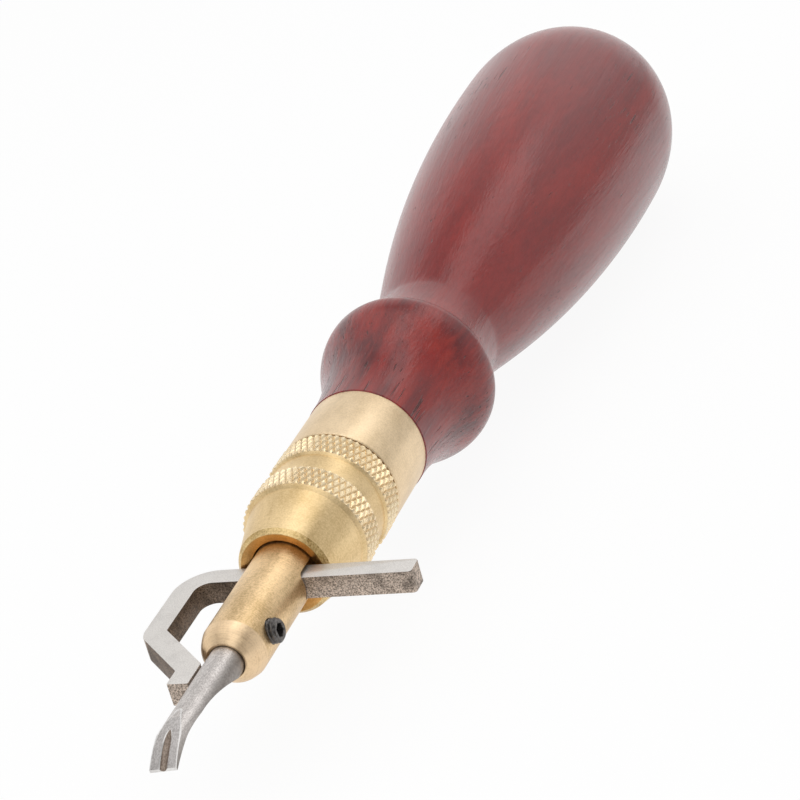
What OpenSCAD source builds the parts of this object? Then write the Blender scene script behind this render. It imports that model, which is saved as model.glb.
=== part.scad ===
// Leather stitching groover: a turned wooden handle carries a brass spindle, a steel edge guide
// slides through the spindle under a knurled clamp nut, and a set screw holds the cutting tip.
// The tool axis is Y. The origin is the middle of the tip socket's mouth, the handle lies
// towards +Y, the cutting edge towards -Y and the guide's free end towards +X.

/* [Spindle] */
// Diameter of the rod in front of the nut
spindle_d = 8; // [7:0.1:9]
// Length of the rod in front of the nut's face
spindle_reach = 18.9; // [18:0.1:24]
// Length of the rounded nose
nose_len = 2.6; // [1.5:0.1:4]
// Fullness of the nose, where 0 is a straight cone
nose_pull = 0.44; // [0:0.02:0.5]
// Width of the flat ring round the socket's mouth
mouth_land = 0.3; // [0.2:0.05:1]
// Depth of the tip socket
socket_depth = 12.8; // [9:0.1:13.5]
// Radius of the slot's upper corners
slot_r = 0.7; // [0.4:0.1:1]
// Radius of the slot's lower corners
slot_low_r = 0.2; // [0.1:0.05:0.4]
// Height by which the thread stands proud of the rod
thread_step = 0.7; // [0.5:0.05:1.2]
// Distance of the thread's front end behind the nut's face
thread_start = 5; // [4.2:0.1:7]
// Diameter of the tang inside the handle
tang_d = 6; // [4:0.1:7]
// Length of the tang behind the ferrule's front face
tang_len = 33; // [20:1:45]

/* [Clamp nut] */
// Length of the nut
nut_len = 19.45; // [17:0.05:24]
// Diameter over the crests of the knurl
knurl_d = 16.2; // [15:0.1:20]
// Width of each knurled band
band_w = 4; // [3:0.1:5]
// Width of the plain groove between the bands
groove_w = 3.8; // [2:0.1:5]
// Depth of the groove under the crests
groove_depth = 0.5; // [0.4:0.05:1]
// Step from the cone's large end to the crests
cone_step = 0.7; // [0.55:0.05:1.2]
// Depth of the knurl
knurl_depth = 0.28; // [0.2:0.02:0.36]
// Number of diamonds round the nut
knurl_count = 56; // [30:1:60]
// Angle of the knurl's lines to the tool axis
knurl_turn = 20; // [15:1:40]
// Bevel on the edges of each knurled band
knurl_bevel = 0.25; // [0.1:0.05:0.5]
// Radial gap round the rod at the nut's mouth
mouth_gap = 0.2; // [0.15:0.05:0.4]
// Width of the dished ring at the nut's mouth
dish_w = 1.2; // [0.8:0.05:1.4]
// Depth of the dished ring
dish_depth = 0.5; // [0.2:0.05:1]
// Width of the bevelled lip
lip_w = 0.55; // [0.3:0.05:0.8]
// Length of the bevelled lip
lip_len = 0.68; // [0.3:0.02:1]

/* [Guide] */
// Width of the guide's bar across the tool axis
guide_w = 2.9; // [2.5:0.1:3.5]
// Thickness of the plate
guide_t = 2.9; // [2:0.1:3.2]
// Drop of the plate's middle below the tool axis
guide_drop = 0.3; // [0:0.05:0.5]
// Reach of the free end beside the tool axis
bar_reach = 17.6; // [12:0.1:24]
// Corner cut on the free end
bar_chamfer = 0.5; // [0.2:0.05:0.9]
// Outer radius of the bend from bar to leg
bend_r = 4.7; // [3.5:0.1:6]
// Distance of the leg outside the foot
hook_depth = 7.6; // [6.5:0.05:9]
// Outer radius of the corner from leg to diagonal
elbow_r = 3.2; // [1:0.1:4]
// Reach of the foot in front of the socket's mouth
foot_reach = 5.8; // [4:0.1:7]
// Length of the foot's straight outer side
foot_len = 2.7; // [1.5:0.1:4]
// Width of the foot
foot_w = 2.7; // [2.2:0.1:2.8]
// Radius of the foot's inner shoulder
foot_r = 0.9; // [0.3:0.1:1.5]
// Radius of the plate's small corners
corner_r = 0.2; // [0.1:0.05:0.3]
// Gap between foot and tip when the guide is fully in
foot_gap = 0.1; // [0.1:0.05:0.5]

/* [Tip] */
// Diameter of the tip's shank
shank_d = 4.2; // [3.5:0.1:4.6]
// Reach of the cutting edge in front of the mouth
tip_reach = 19.7; // [17:0.1:24]
// Distance of the top facet's start in front of the mouth
facet_start = 12.1; // [9.5:0.1:13]
// Distance of the taper's start in front of the mouth
taper_start = 10; // [8:0.1:12]
// Drop of the edge below the top of the shank
edge_drop = 2.65; // [2:0.05:3.2]
// Width of the cutting edge
edge_w = 3.4; // [2.6:0.1:3.5]
// Thickness of the cutting edge
edge_t = 0.35; // [0.25:0.05:0.7]
// Thickness left at the thinnest place above the hollow underside
waist_t = 1.25; // [1:0.05:1.8]
// Distance of the thinnest place in front of the mouth
waist_at = 11.1; // [9.5:0.1:12]
// Turn of the tip about the tool axis, up at the guide's free side
tip_turn = 5; // [0:1:10]
// Width of the cutting channel
channel_w = 1; // [0.7:0.02:1.2]
// Length of the channel from the edge
channel_len = 3.9; // [2.5:0.1:5]
// Depth of the channel at the edge
channel_depth = 0.24; // [0.15:0.01:0.24]

/* [Set screw] */
// Thread diameter of the set screw
screw_d = 3; // [2.5:0.1:3.5]
// Distance of the screw behind the socket's mouth
screw_at = 5.3; // [4.8:0.1:8]
// Turn of the screw about the tool axis, up from the guide's side
screw_turn = 8; // [0:1:15]
// Height by which the screw stands proud of the rod
screw_proud = 0.95; // [0.2:0.05:1.2]
// Width of the hexagon socket across its flats
hex_af = 1.5; // [1.2:0.1:1.8]
// Depth of the hexagon socket
hex_depth = 1.3; // [0.8:0.1:1.6]
// Bevel on the screw's ends
screw_bevel = 0.3; // [0.1:0.05:0.4]

/* [Ferrule] */
// Diameter of the ferrule
ferrule_d = 16; // [15:0.1:18]
// Length of the ferrule
ferrule_len = 11; // [8:0.5:14]
// Wall of the ferrule round the handle's spigot
ferrule_wall = 1.35; // [0.8:0.05:2]
// Thickness of the ferrule's front wall
ferrule_front = 2.4; // [1.5:0.1:3.5]
// Bevel on the ferrule's edges
ferrule_bevel = 0.25; // [0.1:0.05:0.5]

/* [Handle] */
// Height by which the wood stands proud of the ferrule
wood_lip = 0.1; // [0:0.05:0.4]
// Diameter of the collar's crest
collar_d = 23.7; // [20:0.1:28]
// Length of the flare from ferrule to crest
flare_len = 17.9; // [14:0.1:22]
// Straightness of the flare at the ferrule
flare_pull = 11.6; // [6:0.1:13]
// Fullness of the flare at the crest
crest_pull = 4.4; // [2:0.1:6]
// Length of the round fall behind the crest
collar_back = 2.9; // [2:0.1:4]
// Diameter where the collar meets the neck
neck_front_d = 18.5; // [17:0.1:19.5]
// Smallest diameter of the neck
neck_d = 17.6; // [15:0.1:20]
// Length from the collar to the smallest place
neck_len = 5.5; // [3:0.1:9]
// Hollowness of the neck behind the collar
cove_pull = 2.2; // [1:0.1:3]
// Straightness of the grip at the neck
neck_pull = 6.5; // [3:0.1:15]
// Fullness of the grip in front of its largest place
belly_pull = 37.4; // [25:0.1:40]
// Largest diameter of the grip
belly_d = 33.6; // [28:0.1:40]
// Length from the neck to the largest place
belly_len = 69; // [55:0.5:85]
// Length of the domed butt
dome_len = 23; // [14:0.1:28]
// Fullness of the dome, where 2 is an ellipse
dome_power = 2.2; // [1.8:0.05:2.8]

/* [Clearances] */
// Radial running fit of a shaft in its hole
run_fit = 0.05; // [0.02:0.01:0.1]
// Gap at flat faces that slide past each other
face_gap = 0.2; // [0.1:0.05:0.3]
// Space under the bar in its slot
slot_under = 0.15; // [0.1:0.05:0.3]
// Space over the bar in its slot
slot_over = 0.45; // [0.3:0.05:0.6]

/* [Hidden] */
$fn = 96;

brass = [0.84, 0.68, 0.42];
bright_brass = [0.88, 0.73, 0.47];
red_wood = [0.46, 0.2, 0.18];
plate_steel = [0.78, 0.77, 0.75];
tip_steel = [0.6, 0.6, 0.6];
black_oxide = [0.12, 0.12, 0.13];

// Places along the tool axis
nut_face = spindle_reach;
bar_back = nut_face - face_gap;
bar_front = bar_back - guide_w;
slot_front = bar_front - face_gap;
ferrule_face = nut_face + nut_len + face_gap;
wood_face = ferrule_face + ferrule_len;
crest_at = wood_face + flare_len;
neck_at = crest_at + collar_back;
waist_of_handle = neck_at + neck_len;
belly_at = waist_of_handle + belly_len;
butt_end = belly_at + dome_len;

// Sizes that follow from a fit
socket_d = shank_d + 2 * run_fit;
thread_d = spindle_d + 2 * thread_step;
nut_bore = thread_d + 2 * run_fit;
relief_d = spindle_d + 2 * mouth_gap;
relief_len = thread_start - face_gap;
dish_d = relief_d + 2 * dish_w;
lip_d = dish_d + 2 * lip_w;
tang_hole = tang_d + 2 * run_fit;
spigot_bore = ferrule_d - 2 * ferrule_wall;
spigot_d = spigot_bore - 2 * run_fit;
slot_bottom = -guide_drop - guide_t / 2 - slot_under;
slot_top = -guide_drop + guide_t / 2 + slot_over;
slot_back = nut_face + relief_len - face_gap;
over = 1;

// Steps of the drawn curves
corner_steps = 8;
fall_steps = 6;
flare_steps = 14;
grip_steps = 22;
dome_steps = 16;
arc_fn = 360;
channel_fn = 32;

// Points of a cubic curve from p to s with handles q and r, without its first point
function cubic(p, q, r, s, n) = [
    for (i = [1:n]) let (t = i / n, u = 1 - t)
        u^3 * p + 3 * u^2 * t * q + 3 * u * t^2 * r + t^3 * s
];

// Corner of an outline rounded to radius r between its neighbours, as n + 1 points
function rounded(a, p, b, r, n) =
    let (u = (a - p) / norm(a - p), v = (b - p) / norm(b - p),
         half = acos(u * v) / 2,
         centre = p + (u + v) / norm(u + v) * r / sin(half),
         from = p + u * r / tan(half) - centre,
         to = p + v * r / tan(half) - centre,
         turn = sign(from.x * to.y - from.y * to.x) * (180 - 2 * half))
    [for (i = [0:n]) let (w = turn * i / n)
        centre + [from.x * cos(w) - from.y * sin(w), from.x * sin(w) + from.y * cos(w)]];

// Outline through corners given as [x, y, radius]
function outline(corners) = let (n = len(corners)) [
    for (i = [0:n - 1]) let (c = corners[i], a = corners[(i + n - 1) % n], b = corners[(i + 1) % n])
        each rounded([a.x, a.y], [c.x, c.y], [b.x, b.y], c[2], corner_steps)
];

// Body turned about the tool axis from points given as [radius, place along the axis]
module turned(points) {
    rotate([-90, 0, 0])
        rotate_extrude()
            polygon(points);
}

// Rod about the tool axis between two places
module rod(d, from, to) {
    translate([0, from, 0])
        rotate([-90, 0, 0])
            cylinder(d = d, h = to - from);
}

// Turns what is drawn along +X about the tool axis, to the set screw's side
module screw_side() {
    translate([0, screw_at, 0])
        rotate([0, -screw_turn, 0])
            children();
}

// Wooden handle: spigot, flared collar with a round crest, neck, full grip and domed butt
module handle() {
    wood_r = ferrule_d / 2 + wood_lip;
    spigot_front = ferrule_face + ferrule_front + face_gap;
    flare = cubic([wood_r, wood_face], [wood_r, wood_face + flare_pull],
                  [collar_d / 2, crest_at - crest_pull], [collar_d / 2, crest_at], flare_steps);
    fall = [for (i = [1:fall_steps]) let (w = 90 * i / fall_steps)
        [neck_front_d / 2 + (collar_d - neck_front_d) / 2 * cos(w), crest_at + collar_back * sin(w)]];
    cove = cubic([neck_front_d / 2, neck_at], [neck_d / 2, neck_at + cove_pull],
                 [neck_d / 2, neck_at + cove_pull], [neck_d / 2, waist_of_handle], fall_steps);
    grip = cubic([neck_d / 2, waist_of_handle], [neck_d / 2, waist_of_handle + neck_pull],
                 [belly_d / 2, belly_at - belly_pull], [belly_d / 2, belly_at], grip_steps);
    dome = [for (i = [1:dome_steps]) let (u = sin(90 * i / dome_steps))
        [belly_d / 2 * pow(max(0, 1 - pow(u, dome_power)), 1 / dome_power), belly_at + dome_len * u]];
    color(red_wood)
        difference() {
            turned(concat([[0, spigot_front], [spigot_d / 2, spigot_front], [spigot_d / 2, wood_face],
                           [wood_r, wood_face]], flare, fall, cove, grip, dome));
            rod(tang_hole, spigot_front - over, ferrule_face + tang_len + face_gap);
        }
}

// Brass cup pressed over the handle's spigot, with a hole for the tang in its front wall
module ferrule() {
    color(bright_brass)
        turned([[tang_hole / 2, ferrule_face],
                [ferrule_d / 2 - ferrule_bevel, ferrule_face],
                [ferrule_d / 2, ferrule_face + ferrule_bevel],
                [ferrule_d / 2, wood_face],
                [spigot_bore / 2, wood_face],
                [spigot_bore / 2, ferrule_face + ferrule_front],
                [tang_hole / 2, ferrule_face + ferrule_front]]);
}

// Section of the slot through the rod, with round corners at the top
module slot_section() {
    polygon(outline([[slot_front, slot_bottom, slot_low_r],
                     [slot_back, slot_bottom, slot_low_r],
                     [slot_back, slot_top, slot_r],
                     [slot_front, slot_top, slot_r]]));
}

// Brass spindle: socketed nose, slotted rod, thread for the nut and tang for the handle
module spindle() {
    thread_front = nut_face + thread_start;
    end_r = socket_d / 2 + mouth_land;
    rod_r = spindle_d / 2;
    nose_out = [nose_len, end_r - rod_r] / norm([nose_len, end_r - rod_r]);
    nose_handle = [end_r + rod_r, nose_len] / 2 + nose_pull * nose_out;
    nose = cubic([end_r, 0], nose_handle, nose_handle, [rod_r, nose_len], corner_steps);
    color(brass)
        difference() {
            turned(concat([[0, 0], [end_r, 0]], nose,
                          [[rod_r, thread_front], [thread_d / 2, thread_front],
                           [thread_d / 2, ferrule_face], [tang_d / 2, ferrule_face],
                           [tang_d / 2, ferrule_face + tang_len], [0, ferrule_face + tang_len]]));
            rod(socket_d, -over, socket_depth);
            rotate([90, 0, 90])
                linear_extrude(spindle_d + 2 * over, center = true)
                    slot_section();
            screw_side()
                rotate([0, 90, 0])
                    cylinder(d = screw_d + 2 * run_fit, h = spindle_d);
        }
}

// Ring of diamond pyramids: valleys where row and column add up to an even number, bevels outside the rows
module knurl_band(front) {
    columns = 2 * knurl_count;
    rolled_w = band_w - 2 * knurl_bevel;
    column_w = PI * knurl_d / columns;
    rows = max(1, round(rolled_w * tan(knurl_turn) / column_w));
    crest_r = knurl_d / 2;
    root_r = crest_r - knurl_depth;
    seat_r = crest_r - groove_depth - knurl_depth;
    places = concat([0], [for (j = [0:rows]) knurl_bevel + rolled_w * j / rows], [band_w]);
    last = rows + 2;
    skin = [for (j = [0:last], i = [0:columns - 1])
        let (raised = (i + j) % 2 == 1 && j > 0 && j < last, r = raised ? crest_r : root_r)
            [r * cos(360 * i / columns), r * sin(360 * i / columns), places[j]]];
    seat = [for (j = [0, 1], i = [0:columns - 1])
        [seat_r * cos(360 * i / columns), seat_r * sin(360 * i / columns), band_w * j]];
    first = len(skin);
    function at(i, j) = j * columns + i % columns;
    function inner(i, j) = first + j * columns + i % columns;
    diamonds = [for (j = [0:last - 1], i = [0:columns - 1])
        let (a = at(i, j), b = at(i + 1, j), c = at(i + 1, j + 1), d = at(i, j + 1))
            each (i + j) % 2 == 0 ? [[a, d, c], [a, c, b]] : [[a, d, b], [b, d, c]]];
    front_ring = [for (i = [0:columns - 1]) [at(i, 0), at(i + 1, 0), inner(i + 1, 0), inner(i, 0)]];
    back_ring = [for (i = [0:columns - 1]) [at(i, last), inner(i, 1), inner(i + 1, 1), at(i + 1, last)]];
    bore_wall = [for (i = [0:columns - 1]) [inner(i, 0), inner(i + 1, 0), inner(i + 1, 1), inner(i, 1)]];
    translate([0, front, 0])
        rotate([-90, 0, 0])
            polyhedron(concat(skin, seat), concat(diamonds, front_ring, back_ring, bore_wall));
}

// Brass clamp nut: bevelled lip, long cone, two knurled bands with a plain groove between them
module clamp_nut() {
    nut_back = nut_face + nut_len;
    rear_band = nut_back - band_w;
    front_band = rear_band - groove_w - band_w;
    cone_r = knurl_d / 2 - cone_step;
    groove_r = knurl_d / 2 - groove_depth;
    color(brass)
        union() {
            turned([[relief_d / 2, nut_face + dish_depth],
                    [dish_d / 2, nut_face],
                    [lip_d / 2, nut_face + lip_len],
                    [cone_r, front_band],
                    [groove_r, front_band + cone_step / 2],
                    [groove_r, nut_back],
                    [nut_bore / 2, nut_back],
                    [nut_bore / 2, nut_face + relief_len],
                    [relief_d / 2, nut_face + relief_len]]);
            knurl_band(front_band);
            knurl_band(rear_band);
        }
}

// Steel edge guide: square bar through the slot, round bend, leg, diagonal and foot in one plate
module guide() {
    foot_in = -shank_d / 2 - foot_gap;
    foot_out = foot_in - foot_w;
    leg_out = foot_out - hook_depth;
    leg_in = leg_out + guide_w;
    heel = -foot_reach + foot_len;
    elbow = heel + hook_depth;
    diagonal = guide_w * sqrt(2);
    color(plate_steel)
        translate([0, 0, -guide_drop - guide_t / 2])
            linear_extrude(guide_t)
                polygon(outline([[bar_reach, bar_front, bar_chamfer],
                                 [bar_reach, bar_back, bar_chamfer],
                                 [leg_out, bar_back, bend_r],
                                 [leg_out, elbow, elbow_r],
                                 [foot_out, heel, corner_r],
                                 [foot_out, -foot_reach, corner_r],
                                 [foot_in, -foot_reach, corner_r],
                                 [foot_in, heel + diagonal - foot_w, foot_r],
                                 [leg_in, elbow + diagonal - guide_w, corner_r],
                                 [leg_in, bar_front, bend_r - guide_w]]));
}

// Steel tip: round shank hollowed underneath, a facet that curves down to the edge, one channel
module groover_tip() {
    shank_r = shank_d / 2;
    facet_run = tip_reach - facet_start;
    facet_r = (facet_run^2 + edge_drop^2) / (2 * edge_drop);
    waist_z = shank_r - waist_t;
    edge_z = shank_r - edge_drop;
    hollow_run = tip_reach - waist_at;
    hollow_drop = waist_z - edge_z + edge_t;
    hollow_r = (hollow_run^2 + hollow_drop^2) / (2 * hollow_drop);
    channel_run = facet_run - channel_len;
    channel_top = shank_r - facet_r + sqrt(facet_r^2 - channel_run^2);
    channel_fall = channel_top - edge_z + channel_depth;
    channel_tilt = atan2(channel_fall, channel_len);
    cut_w = 2 * shank_d;
    color(tip_steel)
        rotate([0, -tip_turn, 0])
            difference() {
                intersection() {
                    rod(shank_d, -tip_reach, socket_depth - face_gap);
                    linear_extrude(cut_w, center = true)
                        polygon([[-edge_w / 2, -tip_reach], [edge_w / 2, -tip_reach],
                                 [shank_r, -taper_start], [shank_r, socket_depth],
                                 [-shank_r, socket_depth], [-shank_r, -taper_start]]);
                }
                translate([0, -waist_at, waist_z - hollow_r])
                    rotate([0, 90, 0])
                        cylinder(r = hollow_r, h = cut_w, center = true, $fn = arc_fn);
                difference() {
                    translate([-cut_w / 2, -facet_start - 2 * facet_run, shank_r - facet_r])
                        cube([cut_w, 2 * facet_run, 2 * facet_r]);
                    translate([0, -facet_start, shank_r - facet_r])
                        rotate([0, 90, 0])
                            cylinder(r = facet_r, h = cut_w + 2 * over, center = true, $fn = arc_fn);
                }
                translate([0, -tip_reach + channel_len, channel_top + channel_w / 2])
                    rotate([90 + channel_tilt, 0, 0])
                        cylinder(d = channel_w, h = 2 * channel_len, $fn = channel_fn);
            }
}

// Set screw with bevelled ends and a hexagon socket, drawn along +X
module set_screw() {
    inner_end = shank_d / 2 + face_gap / 2;
    outer_end = spindle_d / 2 + screw_proud;
    screw_r = screw_d / 2;
    screw_len = outer_end - inner_end;
    color(black_oxide)
        screw_side()
            translate([inner_end, 0, 0])
                rotate([0, 90, 0])
                    difference() {
                        rotate_extrude()
                            polygon([[0, 0], [screw_r - screw_bevel, 0], [screw_r, screw_bevel],
                                     [screw_r, screw_len - screw_bevel],
                                     [screw_r - screw_bevel, screw_len], [0, screw_len]]);
                        translate([0, 0, screw_len - hex_depth])
                            cylinder(d = hex_af / cos(30), h = hex_depth + over, $fn = 6);
                    }
}

handle();
ferrule();
spindle();
clamp_nut();
guide();
groover_tip();
set_screw();
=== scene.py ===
import bpy
import bmesh
import math
from mathutils import Matrix, Vector


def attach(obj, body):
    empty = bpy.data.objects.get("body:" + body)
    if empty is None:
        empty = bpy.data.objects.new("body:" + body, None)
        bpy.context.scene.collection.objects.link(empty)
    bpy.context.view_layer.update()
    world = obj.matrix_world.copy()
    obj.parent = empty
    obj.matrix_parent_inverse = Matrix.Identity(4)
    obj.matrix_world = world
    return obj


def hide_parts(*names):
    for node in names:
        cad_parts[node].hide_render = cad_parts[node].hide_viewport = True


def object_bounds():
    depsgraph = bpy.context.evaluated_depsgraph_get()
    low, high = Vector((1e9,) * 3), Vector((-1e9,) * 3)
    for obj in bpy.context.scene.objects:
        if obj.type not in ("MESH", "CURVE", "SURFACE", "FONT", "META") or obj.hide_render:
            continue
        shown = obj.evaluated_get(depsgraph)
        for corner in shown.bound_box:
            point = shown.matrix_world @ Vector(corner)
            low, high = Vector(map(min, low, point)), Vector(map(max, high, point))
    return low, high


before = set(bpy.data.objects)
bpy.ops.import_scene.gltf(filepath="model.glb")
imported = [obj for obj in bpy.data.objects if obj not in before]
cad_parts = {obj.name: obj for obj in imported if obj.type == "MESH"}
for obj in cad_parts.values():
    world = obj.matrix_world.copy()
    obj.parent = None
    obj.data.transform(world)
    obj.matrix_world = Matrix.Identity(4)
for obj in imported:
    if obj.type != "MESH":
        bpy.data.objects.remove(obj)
cad_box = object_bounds()


# Handle: one piece of dark red hardwood turned between centres, glued over the spindle's tang.
# A flared collar stops the fingers, a shallow cove runs into the neck, and the full grip ends in a
# domed butt. It is sanded and given a thin satin varnish, which leaves the pores open.
mm = 0.001
wood_face = 49.55
wood_break = 0.12
crest_at = 67.45
cove_at = 70.0
neck_at = 79.0
belly_at = 144.85
butt_end = 167.85
wood_r = 8.1
crest_r = 11.85
cove_r = 9.9
neck_r = 8.75
belly_r = 16.8
flare_pull = 11.6
crest_pull = 4.4
cove_pull = 2.2
cove_dip = 0.5
cove_run = 5.0
neck_pull = 4.5
belly_pull = 39.5
dome_power = 2.2
crest_steps = 18
dome_steps = 48
spigot_r = 6.6
spigot_front = 41.15
tang_hole_r = 3.05
tang_hole_end = 71.75


def cubic(p, q, r, s, steps):
    """Points of a cubic curve from p to s with handles q and r, without its first point."""
    points = []
    for i in range(1, steps + 1):
        t = i / steps
        u = 1 - t
        points.append(tuple(u**3 * a + 3 * u * u * t * b + 3 * u * t * t * c + t**3 * d
                            for a, b, c, d in zip(p, q, r, s)))
    return points


def finished(name, bm, crease=28):
    """Object from a bmesh: faces turned outwards, smooth up to the crease angle."""
    bmesh.ops.recalc_face_normals(bm, faces=bm.faces)
    mesh = bpy.data.meshes.new(name)
    bm.to_mesh(mesh)
    bm.free()
    mesh.shade_smooth()
    mesh.set_sharp_from_angle(angle=math.radians(crease))
    obj = bpy.data.objects.new(name, mesh)
    bpy.context.collection.objects.link(obj)
    return obj


def turned(name, profile, segments, ring=False):
    """Piece turned about the tool axis from points (radius, place along the axis) in millimetres."""
    bm = bmesh.new()
    angles = [2 * math.pi * i / segments for i in range(segments)]
    rows = []
    for r, y in profile:
        if r < 1e-6:
            rows.append([bm.verts.new((0, y * mm, 0))])
        else:
            points = [(r * mm * math.cos(a), y * mm, r * mm * math.sin(a)) for a in angles]
            rows.append([bm.verts.new(point) for point in points])
    pairs = list(zip(rows, rows[1:]))
    if ring:
        pairs.append((rows[-1], rows[0]))
    for a, b in pairs:
        for i in range(segments):
            j = (i + 1) % segments
            corners = [a[i % len(a)], a[j % len(a)], b[j % len(b)], b[i % len(b)]]
            bm.faces.new(list(dict.fromkeys(corners)))
    return finished(name, bm)


handle_profile = [(0, tang_hole_end), (tang_hole_r, tang_hole_end), (tang_hole_r, spigot_front),
                  (spigot_r, spigot_front), (spigot_r, wood_face), (wood_r - wood_break, wood_face),
                  (wood_r, wood_face + wood_break)]
handle_profile += cubic((wood_r, wood_face + wood_break), (wood_r, wood_face + flare_pull),
                        (crest_r, crest_at - crest_pull), (crest_r, crest_at), steps=48)
for i in range(1, crest_steps + 1):
    w = math.pi / 2 * i / crest_steps
    handle_profile.append((cove_r + (crest_r - cove_r) * math.cos(w),
                           crest_at + (cove_at - crest_at) * math.sin(w)))
handle_profile += cubic((cove_r, cove_at), (cove_r - cove_dip, cove_at + cove_pull),
                        (neck_r, cove_at + cove_run), (neck_r, neck_at), steps=32)
handle_profile += cubic((neck_r, neck_at), (neck_r, neck_at + neck_pull),
                        (belly_r, belly_at - belly_pull), (belly_r, belly_at), steps=90)
for i in range(1, dome_steps + 1):
    u = math.sin(math.pi / 2 * i / dome_steps)
    handle_profile.append((belly_r * max(0, 1 - u**dome_power) ** (1 / dome_power),
                           belly_at + (butt_end - belly_at) * u))
handle = turned("handle_wood", handle_profile, segments=160)


def add(tree, kind, inputs=None, **settings):
    """Node of that kind, with its settings, and its inputs given as values or as sockets to link."""
    made = tree.nodes.new(kind)
    for key, value in settings.items():
        setattr(made, key, value)
    for key, value in (inputs or {}).items():
        if isinstance(value, bpy.types.NodeSocket):
            tree.links.new(value, made.inputs[key])
        else:
            made.inputs[key].default_value = value
    return made


def stretched(tree, place, scale, shift):
    """Coordinates scaled along each axis, in features per metre, and shifted."""
    return add(tree, "ShaderNodeMapping", {"Vector": place, "Scale": scale, "Location": shift}).outputs[0]


def noise(tree, vector, scale=1.0, detail=3.0, rough=0.5, warp=0.0):
    """Value of a noise from 0 to 1."""
    return add(tree, "ShaderNodeTexNoise", {"Vector": vector, "Scale": scale, "Detail": detail,
                                            "Roughness": rough, "Distortion": warp}).outputs[0]


def grain(tree, place, across, along, shift=(0, 0, 0), **look):
    """Noise drawn out along the tool axis, in features per metre across and along it."""
    return noise(tree, stretched(tree, place, (across, along, across), shift), **look)


def levels(tree, value, low, high, to_low=0.0, to_high=1.0):
    """Value stretched from one range to another and held at its ends."""
    return add(tree, "ShaderNodeMapRange", {0: value, 1: low, 2: high, 3: to_low, 4: to_high}).outputs[0]


def maths(tree, operation, a, b=0.0):
    """Result of one arithmetic step."""
    return add(tree, "ShaderNodeMath", {0: a, 1: b}, operation=operation).outputs[0]


def mixed(tree, share, a, b):
    """Colour a changed towards colour b by a share."""
    return add(tree, "ShaderNodeMix", {0: share, 6: a, 7: b}, data_type="RGBA").outputs[2]


def material(name, metallic):
    """New material: itself, its tree, its Principled shader and its object coordinates."""
    made = bpy.data.materials.new(name)
    made.use_nodes = True
    tree = made.node_tree
    shader = tree.nodes["Principled BSDF"]
    shader.inputs["Metallic"].default_value = metallic
    place = tree.nodes.new("ShaderNodeTexCoord").outputs["Object"]
    return made, tree, shader, place


def relief(tree, height, depth):
    """Normal of a relief, depth in millimetres."""
    return add(tree, "ShaderNodeBump", {"Height": height, "Distance": depth * mm, "Strength": 1.0}).outputs[0]


def dress(tree, shader, colour, roughness, normal):
    """Links the parts of a finish that vary over the surface to the shader."""
    tree.links.new(colour, shader.inputs["Base Color"])
    tree.links.new(roughness, shader.inputs["Roughness"])
    tree.links.new(normal, shader.inputs["Normal"])


pores_full = 56
pores_few = 65
figure_full = 66
figure_calm = 80
wood_relief = 0.05
varnish_relief = 0.08
wood_dark = (0.205, 0.0185, 0.02, 1)
wood_light = (0.33, 0.027, 0.02, 1)
heart_red = (0.18, 0.017, 0.017, 1)
figure_dark = (0.09, 0.01, 0.012, 1)
streak_red = (0.335, 0.032, 0.022, 1)
grip_red = (0.215, 0.02, 0.019, 1)
fibre_dark = (0.08, 0.01, 0.01, 1)
pore_dark = (0.045, 0.008, 0.007, 1)

wood, tree, shader, place = material("red_hardwood", metallic=0.0)
shader.inputs["Coat Weight"].default_value = 0.8
shader.inputs["Coat Roughness"].default_value = 0.18
shader.inputs["Specular IOR Level"].default_value = 0.12
heart_place = stretched(tree, place, (1, 0.1, 1), (0.019, 0, 0.031))
heart = add(tree, "ShaderNodeTexWave", {"Vector": heart_place, "Scale": 62.0, "Distortion": 6.0,
                                        "Detail": 3.0, "Detail Scale": 1.2, "Detail Roughness": 0.6},
            wave_type="RINGS", rings_direction="Y").outputs["Fac"]
broad = grain(tree, place, 100, 38, (3.1, 0.4, 1.7), detail=2.5)
figure = grain(tree, place, 210, 36, (1.3, 2.2, 0.6), detail=3.5, rough=0.6, warp=0.25)
streak = grain(tree, place, 620, 34, detail=4.0, rough=0.6, warp=0.3)
mottle = grain(tree, place, 900, 420, (2.0, 7.0, 3.0), rough=0.6)
fibre = grain(tree, place, 3200, 150, rough=0.55)
open_grain = grain(tree, place, 90, 40, (8.0, 1.0, 6.0), detail=1.0)
pore = grain(tree, place, 2300, 85, (5.0, 2.0, 8.0), detail=1.0, rough=0.4)
hair = grain(tree, place, 5200, 240, (1.0, 4.0, 2.0), detail=1.0, rough=0.4)

# The collar shows open pores and a lively figure, and the grip is calmer.
along_axis = add(tree, "ShaderNodeSeparateXYZ", {0: place}).outputs[1]
on_collar = levels(tree, along_axis, pores_full * mm, pores_few * mm, 0.05, -0.02)
on_grip = levels(tree, along_axis, figure_full * mm, figure_calm * mm)
pore_lift = maths(tree, "ADD", levels(tree, open_grain, 0.35, 0.7, -0.06, 0.02), on_collar)
pore_mask = levels(tree, maths(tree, "ADD", pore, pore_lift), 0.7, 0.76)
hair_lift = levels(tree, open_grain, 0.4, 0.65, -0.14, -0.02)
hair_mask = levels(tree, maths(tree, "ADD", hair, hair_lift), 0.66, 0.72)
pore_mask = maths(tree, "MAXIMUM", pore_mask, hair_mask)
figure_share = maths(tree, "MULTIPLY", levels(tree, figure, 0.46, 0.66),
                     levels(tree, on_grip, 0, 1, 0.85, 0.46))
streak_share = maths(tree, "MULTIPLY", levels(tree, streak, 0.45, 0.72),
                     levels(tree, on_grip, 0, 1, 0.75, 0.4))

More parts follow.
